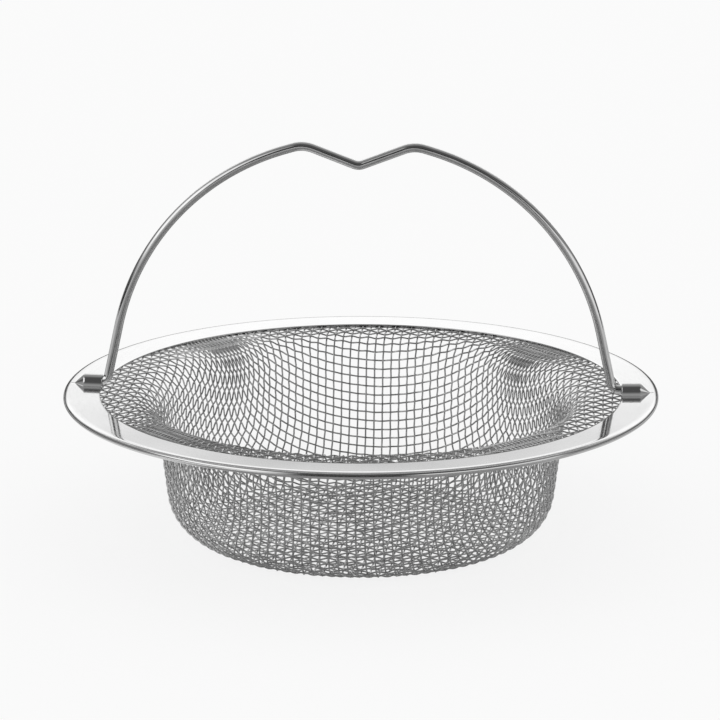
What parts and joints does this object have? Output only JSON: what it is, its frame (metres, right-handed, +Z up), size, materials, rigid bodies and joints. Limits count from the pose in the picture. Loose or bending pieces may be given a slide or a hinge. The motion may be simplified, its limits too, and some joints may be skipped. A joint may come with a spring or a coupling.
{
  "type": "sink strainer",
  "caption": "Sink strainer: a round bowl drawn from woven wire cloth, held in a flat folded sheet rim, with an arched wire handle that folds down to either side.",
  "frame": {"origin": "middle of the bowl floor's underside, on the surface that the strainer stands on", "axes": "+Z up, +X along the handle's pivot line, +Y towards the side away from the viewer of the picture"},
  "size_m": [0.114, 0.114, 0.0764],
  "materials": {
    "rim_sheet": "mirror-polished stainless sheet",
    "wire_cloth": "bright drawn stainless wire, plain woven",
    "handle_wire": "polished drawn stainless wire"
  },
  "bodies": {
    "strainer": {"rim_ring": "rim_sheet", "mesh_basket": "wire_cloth"},
    "handle": {"wire_handle": "handle_wire"}
  },
  "joints": [
    {"name": "handle_pivot", "type": "hinge", "parent": "strainer", "child": "handle", "pos_m": [0, 0, 0.02898], "axis": [1, 0, 0], "range_deg": [-90, 90]}
  ]
}
